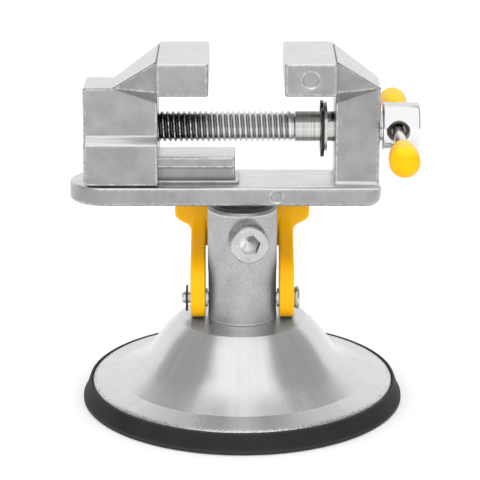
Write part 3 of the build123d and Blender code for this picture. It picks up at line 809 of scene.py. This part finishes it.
cast, tree, shader, place = new_material(
    "cast_aluminium", metallic=1.0, Coat_Weight=0.8, Coat_Roughness=0.3
)
skin = placed(
    tree, skin_group, Vector=place, Grain_Size=0.45 * mm, Cloud_Size=6 * mm, Cloud_Share=0.65
)
edges = placed(tree, edge_group, Width=0.62 * mm, Strength=0.55)
corner_shade = placed(tree, shade_group, Reach=2.4 * mm, Strength=0.95)

# Belt marks run along X, twenty times as long as they are wide, on faces that point upwards.
belt_mark = 0.4 * mm
along_belt = tree.nodes.new("ShaderNodeMapping")
along_belt.inputs["Scale"].default_value = (0.05, 1.0, 1.0)
tree.links.new(place, along_belt.inputs["Vector"])
belt_marks = noise_node(tree, along_belt.outputs["Vector"], 1 / belt_mark, detail=3.0)
belt_marks = step_between(tree, belt_marks, 0.3, 0.7)
x, y, z = axes_of(tree, own_normal(tree))
upward = step_between(tree, z, 0.2, 0.5)
# Faces that point upwards are linished and are painted much paler than the rest, as light from
# above shows them; the belt marks run over them.
as_cast = blended(tree, skin.outputs["Tone"], grey(147), grey(175))
colour = blended(tree, upward, as_cast, blended(tree, belt_marks, grey(222), grey(246)))

# Tumbling rubs the edges unevenly, and nicks break up the bright lines on them, which are partly
# rubbed wear and partly painted highlight, and the painted dark lines of shade.
nick_size = 1.5 * mm
nicks = step_between(tree, noise_node(tree, place, 1 / nick_size, detail=3.0), 0.38, 0.6)
more_rubbed_and_lit = between(tree, nicks, 0.3, 1.5)
less_edge_shade = between(tree, nicks, 1.6, 0.4)
rubbed_and_lit = number_node(tree, "MULTIPLY", edges.outputs["Mask"], more_rubbed_and_lit, clamp=True)
edge_shade = number_node(tree, "MULTIPLY", edges.outputs["Dark"], less_edge_shade, clamp=True)
colour = blended(tree, rubbed_and_lit, colour, grey(248))
colour = blended(tree, edge_shade, colour, grey(88))
# Painted shade in corners and under overhangs, weaker on faces that point upwards.
shaded = number_node(tree, "MULTIPLY", corner_shade.outputs["Mask"], between(tree, upward, 1.0, 0.55))
colour = blended(tree, shaded, colour, grey(56))
tree.links.new(colour, shader.inputs["Base Color"])
tree.links.new(between(tree, skin.outputs["Tone"], 0.3, 0.4), shader.inputs["Roughness"])
height = number_node(tree, "MULTIPLY", skin.outputs["Height"], between(tree, upward, 1.0, 0.25))
raised(tree, shader, height, 0.03 * mm, under=edges.outputs["Normal"])
finish_nodes(cast, "cast_aluminium", "vise_frame", "moving_jaw")

# ---------------------------------------------------------------- lead screw
# A 5/16-18 thread rolled on steel bar, a plain journal with a clip groove, and a drilled
# cross-bar head. All of it is chrome plated.
screw_low, screw_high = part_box("lead_screw")
clip_low, clip_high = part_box("screw_clip")
screw_height = (screw_low.z + screw_high.z) / 2
screw_radius = 3.97 * mm
thread_pitch = 1.411 * mm
thread_end = 12.5 * mm
thread_fade = 0.8 * mm
clip_root = screw_radius - 0.75 * mm
clip_gap = 0.02 * mm
tee_start = screw_high.x - 9.6 * mm
tee_radius = screw_high.z - screw_height
tee_edge = 0.5 * mm
bar_radius = 1.5 * mm
bar_hole = 1.75 * mm
bar_place = (tee_start + screw_high.x) / 2 - 0.8 * mm
sink_radius = 3.0 * mm
sink_depth = 1.4 * mm

chrome, tree, shader, place = new_material("chrome_plate", metallic=1.0)
x, y, z = axes_of(tree, place)
lines = placed(tree, line_group, Place=x, Pitch=0.12 * mm)
skin = placed(
    tree, skin_group, Vector=place, Grain_Size=0.4 * mm, Cloud_Size=4 * mm, Cloud_Share=0.7
)
fresh_chrome = (screen_colour(236, 236, 238), screen_colour(246, 246, 247))
colour = blended(tree, lines.outputs["Tone"], *fresh_chrome)
over_axis = number_node(tree, "SUBTRACT", z, screw_height)
on_thread = step_between(tree, x, thread_end + thread_fade, thread_end)

# The journal was turned before plating, so faint rings show. It is painted darker than the head:
# a painted dark reflection.
on_journal = step_between(tree, x, tee_start, tee_start - 0.1 * mm)
on_journal = number_node(tree, "SUBTRACT", on_journal, on_thread, clamp=True)
bands = placed(tree, line_group, Place=x, Pitch=0.7 * mm)
shaded_journal_tones = (screen_colour(188, 186, 183), screen_colour(222, 221, 218))
banded = blended(tree, bands.outputs["Tone"], *shaded_journal_tones)
colour = blended(tree, on_journal, colour, banded)

# Painted shade: the thread's roots are painted darker than its crests, and towards its tip,
# where the jaw runs, the roots are painted darker still and patches of the crests darken, as the
# jaw's shade.
jaw_shade_start = -17 * mm
jaw_shade_end = -3 * mm
unshaded_crest = 0.42 * mm
shaded_crest = 0.16 * mm
jaw_shade = step_between(tree, x, jaw_shade_end, jaw_shade_start)
under_crest = number_node(tree, "SUBTRACT", screw_radius, distance(tree, over_axis, y))
crest_depth = between(tree, jaw_shade, unshaded_crest, shaded_crest)
in_root = number_node(tree, "SUBTRACT", under_crest, crest_depth)
in_root = step_between(tree, in_root, 0.0, 0.2 * mm)
in_root = number_node(tree, "MULTIPLY", in_root, on_thread)
root_colour = blended(tree, jaw_shade, screen_colour(160, 160, 162), screen_colour(88, 88, 90))
crest_shade_size = 0.8 * mm
crest_shade = step_between(tree, noise_node(tree, place, 1 / crest_shade_size), 0.4, 0.6)
crest_shade = number_node(tree, "MULTIPLY", crest_shade, number_node(tree, "MULTIPLY", jaw_shade, 0.75))
crest_shade = number_node(tree, "ADD", crest_shade, number_node(tree, "MULTIPLY", on_thread, 0.1))
crest_colour = blended(tree, crest_shade, colour, screen_colour(92, 92, 95))
colour = blended(tree, in_root, crest_colour, root_colour)

# The countersunk mouths of the cross hole are painted brown: a painted dark reflection. The bar
# in it isn't.
along_head = number_node(tree, "SUBTRACT", x, bar_place)
off_hole = distance(tree, along_head, over_axis)
in_mouth = step_between(tree, off_hole, sink_radius + 0.05 * mm, sink_radius - 0.25 * mm)
off_bar = step_between(tree, off_hole, bar_radius + 0.05 * mm, bar_radius + 0.15 * mm)
in_mouth = number_node(tree, "MULTIPLY", in_mouth, off_bar)
in_mouth = number_node(tree, "MULTIPLY", in_mouth, 0.85)
colour = blended(tree, in_mouth, colour, screen_colour(112, 102, 92))
tree.links.new(colour, shader.inputs["Base Color"])
rough = between(tree, skin.outputs["Tone"], 0.06, 0.12)
rough = number_node(tree, "MULTIPLY_ADD", on_thread, 0.16, rough)
tree.links.new(rough, shader.inputs["Roughness"])
raised(tree, shader, lines.outputs["Height"], 0.0012 * mm)


def solid_object(bm, name):
    """A bmesh as an object, for joining to or cutting from another."""
    mesh = bpy.data.meshes.new(name)
    bm.to_mesh(mesh)
    bm.free()
    made = bpy.data.objects.new(name, mesh)
    bpy.context.scene.collection.objects.link(made)
    return made


def combine(target, tool, operation):
    """Joins tool to target, or cuts it away, and removes the tool."""
    step = target.modifiers.new(operation, "BOOLEAN")
    step.operation = operation
    step.solver = "EXACT"
    step.object = tool
    depsgraph = bpy.context.evaluated_depsgraph_get()
    result = bpy.data.meshes.new_from_object(target.evaluated_get(depsgraph))
    target.modifiers.clear()
    target.data = result
    bpy.data.objects.remove(tool)


thread = threaded_rod(
    thread_end - screw_low.x,
    screw_radius,
    thread_pitch,
    steps=64,
    tip=1.0 * mm,
    fade=thread_fade,
)
bmesh.ops.translate(thread, verts=thread.verts, vec=(0, 0, screw_low.x))
core_radius = screw_radius - 0.5 * mm
core_start = thread_end - 0.4 * mm
journal = turned(
    [
        (0, core_start),
        (core_radius, core_start),
        (core_radius, thread_end + thread_fade),
        (screw_radius, thread_end + thread_fade + 0.4 * mm),
        (screw_radius, clip_low.x - clip_gap),
        (clip_root, clip_low.x - clip_gap),
        (clip_root, clip_high.x + clip_gap),
        (screw_radius, clip_high.x + clip_gap),
        (screw_radius, tee_start),
        (tee_radius - tee_edge, tee_start),
        *arc((tee_radius - tee_edge, tee_start + tee_edge), tee_edge, -90, 0, 4),
        *arc((tee_radius - tee_edge, screw_high.x - tee_edge), tee_edge, 0, 90, 4),
        (0, screw_high.x),
    ]
)
drill = turned(
    [
        (0, -2 * tee_radius),
        (sink_radius + tee_radius, -2 * tee_radius),
        (bar_hole, sink_depth - tee_radius),
        (bar_hole, tee_radius - sink_depth),
        (sink_radius + tee_radius, 2 * tee_radius),
        (0, 2 * tee_radius),
    ],
    steps=48,
)
across_head = Matrix.Translation((0, 0, bar_place)) @ Matrix.Rotation(pi / 2, 4, "X")
bmesh.ops.transform(drill, matrix=across_head, verts=drill.verts)
shaft = solid_object(thread, "shaft")
combine(shaft, solid_object(journal, "journal"), "UNION")
combine(shaft, solid_object(drill, "drill"), "DIFFERENCE")
bm = bmesh.new()
bm.from_mesh(shaft.data)
bpy.data.objects.remove(shaft)
along_screw = Matrix.Translation((0, 0, screw_height)) @ Matrix.Rotation(pi / 2, 4, "Y")
bmesh.ops.transform(bm, matrix=along_screw, verts=bm.verts)
make_piece(
    bm,
    "threaded_spindle",
    "spindle",
    chrome,
    stands_for=("lead_screw",),
    crease=28,
)
finish_nodes(chrome, "chrome_washer", "screw_washer", "tommy_bar")

# ---------------------------------------------------------------- tommy bar caps
# Dipped caps of soft yellow vinyl: a flared mouth, a tapering neck and a round end, pushed on
# the bar's ends so that it can't slide out. Faces that look up are painted paler, as light from
# above shows them.
vinyl, tree, shader, place = new_material(
    "yellow_vinyl",
    Subsurface_Weight=0.1,
    Subsurface_Scale=0.0015,
    Subsurface_Radius=(1.0, 0.85, 0.3),
    Specular_IOR_Level=0.18,
)
colour, rough = skinned(
    tree,
    shader,
    place,
    grain=0.5 * mm,
    clouds=5 * mm,
    share=0.7,
    tones=((255, 178, 0), (255, 194, 0)),
    rough=(0.26, 0.36),
    bump=0.01 * mm,
)
x, y, z = axes_of(tree, own_normal(tree))
upward = step_between(tree, z, 0.42, 0.95)
colour = blended(tree, upward, colour, screen_colour(255, 212, 20))
grey_in_mirrors(tree, shader, colour, (160, 154, 142))

ball_radius = 3.87 * mm
mouth_radius = 2.75 * mm
mouth_edge = 0.3 * mm
taper_length = 10.9 * mm
taper_power = 2.4
taper_steps = 16
bore_depth = 8.9 * mm
bore_radius = bar_radius + 0.02 * mm
bore_chamfer = 0.2 * mm
taper = []
for step in range(1, taper_steps + 1):
    share = step / taper_steps
    widening = (1 - (1 - share) ** taper_power) * (ball_radius - mouth_radius)
    taper.append((mouth_radius + widening, share * taper_length))
cap_outline = [
    (0, bore_depth),
    (bore_radius, bore_depth),
    (bore_radius, bore_chamfer),
    (bore_radius + bore_chamfer, 0),
    (mouth_radius - mouth_edge, 0),
    (mouth_radius - 0.05 * mm, 0.12 * mm),
    *taper,
    *arc((0, taper_length), ball_radius, 8, 90, 12),
]

# The bar lies one degree askew in its loose hole, pushed towards the user.
bar_lean = radians(1.0)
bar_shift = 4.25 * mm
mouth_reach = 19.85 * mm
bar_direction = Vector((sin(bar_lean), cos(bar_lean), 0))
bar_middle = Vector((bar_place, 0, screw_height)) - bar_direction * bar_shift
for node_name, piece_name, toward in (
    ("bar_cap_front", "front_cap", -1),
    ("bar_cap_rear", "rear_cap", 1),
):
    bm = turned(cap_outline, steps=64)
    outwards = bar_direction * toward
    seat = Matrix.Translation(bar_middle + outwards * mouth_reach)
    turn = outwards.to_track_quat("Z", "X").to_matrix().to_4x4()
    bmesh.ops.transform(bm, matrix=seat @ turn, verts=bm.verts)
    bmesh.ops.recalc_face_normals(bm, faces=bm.faces)
    make_piece(bm, piece_name, "handle", vinyl, stands_for=(node_name,))

# ---------------------------------------------------------------- floor
# A white sweep that takes the vise's shadow. It shows the camera a little more than its own
# colour, so that the picture's background is white.
floor_radius = 3.0
floor_drop = 0.1 * mm
floor_paint, tree, shader, place = new_material(
    "white_sweep",
    Roughness=0.9,
    Specular_IOR_Level=0.0,
    Base_Color=(0.93, 0.93, 0.93, 1),
    Emission_Color=(1, 1, 1, 1),
)
rays = tree.nodes.new("ShaderNodeLightPath")
lift_to_white = number_node(tree, "MULTIPLY", rays.outputs["Is Camera Ray"], 0.1)
tree.links.new(lift_to_white, shader.inputs["Emission Strength"])
bm = bmesh.new()
bmesh.ops.create_circle(bm, cap_ends=True, segments=96, radius=floor_radius)
bmesh.ops.translate(bm, verts=bm.verts, vec=(0, 0, -floor_drop))
floor_mesh = bpy.data.meshes.new("sweep")
bm.to_mesh(floor_mesh)
bm.free()
floor_mesh.materials.append(floor_paint)
floor = bpy.data.objects.new("sweep", floor_mesh)
bpy.context.scene.collection.objects.link(floor)

# ---------------------------------------------------------------- light tent
# The tent lights the vise evenly. Only mirrored rays see what stands in it: a bright strip from
# the floor over the top, a paler back wall and dim flags at the sides.
strip_level = 1.05
wall_level = 0.85
flag_level = 0.36
strip_narrows_backwards = 0.42
strip_widens_upwards = 0.45
wall_rise = 0.683
wall_narrows_aside = 0.327
blur = 0.08

world = bpy.data.worlds.new("studio")
bpy.context.scene.world = world
world.use_nodes = True
tree = world.node_tree
tree.nodes.clear()
rays = tree.nodes.new("ShaderNodeLightPath")
mirrored = number_node(
    tree, "MAXIMUM", rays.outputs["Is Glossy Ray"], rays.outputs["Is Transmission Ray"]
)
x, y, z = axes_of(tree, tree.nodes.new("ShaderNodeTexCoord").outputs["Generated"])
aside = number_node(tree, "ABSOLUTE", x)
off_strip = number_node(tree, "MULTIPLY_ADD", y, strip_narrows_backwards, aside)
off_strip = number_node(tree, "MULTIPLY_ADD", z, -strip_widens_upwards, off_strip)
strip = step_between(tree, off_strip, blur, -blur)
past_wall = number_node(tree, "MULTIPLY_ADD", z, -wall_rise, y)
past_wall = number_node(tree, "MULTIPLY_ADD", aside, -wall_narrows_aside, past_wall)
wall = step_between(tree, past_wall, -blur, blur)
level = between(tree, strip, flag_level, strip_level)
short = number_node(tree, "SUBTRACT", wall_level, level)
level = number_node(tree, "MULTIPLY_ADD", wall, short, level)
short = number_node(tree, "SUBTRACT", level, 1.0)
level = number_node(tree, "MULTIPLY_ADD", mirrored, short, 1.0)
sky = tree.nodes.new("ShaderNodeBackground")
sky.inputs["Color"].default_value = (1, 1, 1, 1)
tree.links.new(level, sky.inputs["Strength"])
surface = tree.nodes.new("ShaderNodeOutputWorld")
tree.links.new(sky.outputs["Background"], surface.inputs["Surface"])


def soft_box(name, size, place, watts):
    """A rectangular lamp that faces the vise, and that metal doesn't mirror."""
    lamp = bpy.data.lights.new(name, "AREA")
    lamp.shape = "RECTANGLE"
    lamp.size, lamp.size_y = size
    lamp.energy = watts
    made = bpy.data.objects.new(name, lamp)
    made.location = place
    aim_at = Vector((0, 0, 0.05))
    made.rotation_euler = (aim_at - Vector(place)).to_track_quat("-Z", "Y").to_euler()
    made.visible_glossy = False
    bpy.context.scene.collection.objects.link(made)


soft_box("overhead_box", (0.55, 0.9), (0, -0.05, 0.95), 1.0)
soft_box("front_box", (1.6, 0.5), (0, -1.1, 0.25), 5.0)

# ---------------------------------------------------------------- camera
# A long lens a little over half a metre away, looking 17.5 degrees down, as in the photo.
looking_down = 17.5
camera_data = bpy.data.cameras.new("camera")
camera_data.lens = 159.6
camera_data.sensor_width = 36.0
camera_data.clip_start = 0.05
camera_data.clip_end = 20.0
camera = bpy.data.objects.new("camera", camera_data)
camera.location = (-0.0006, -0.5341, 0.2116)
camera.rotation_euler = (radians(90 - looking_down), 0, 0)
bpy.context.scene.collection.objects.link(camera)
bpy.context.scene.camera = camera
bpy.context.scene.view_settings.view_transform = "Standard"
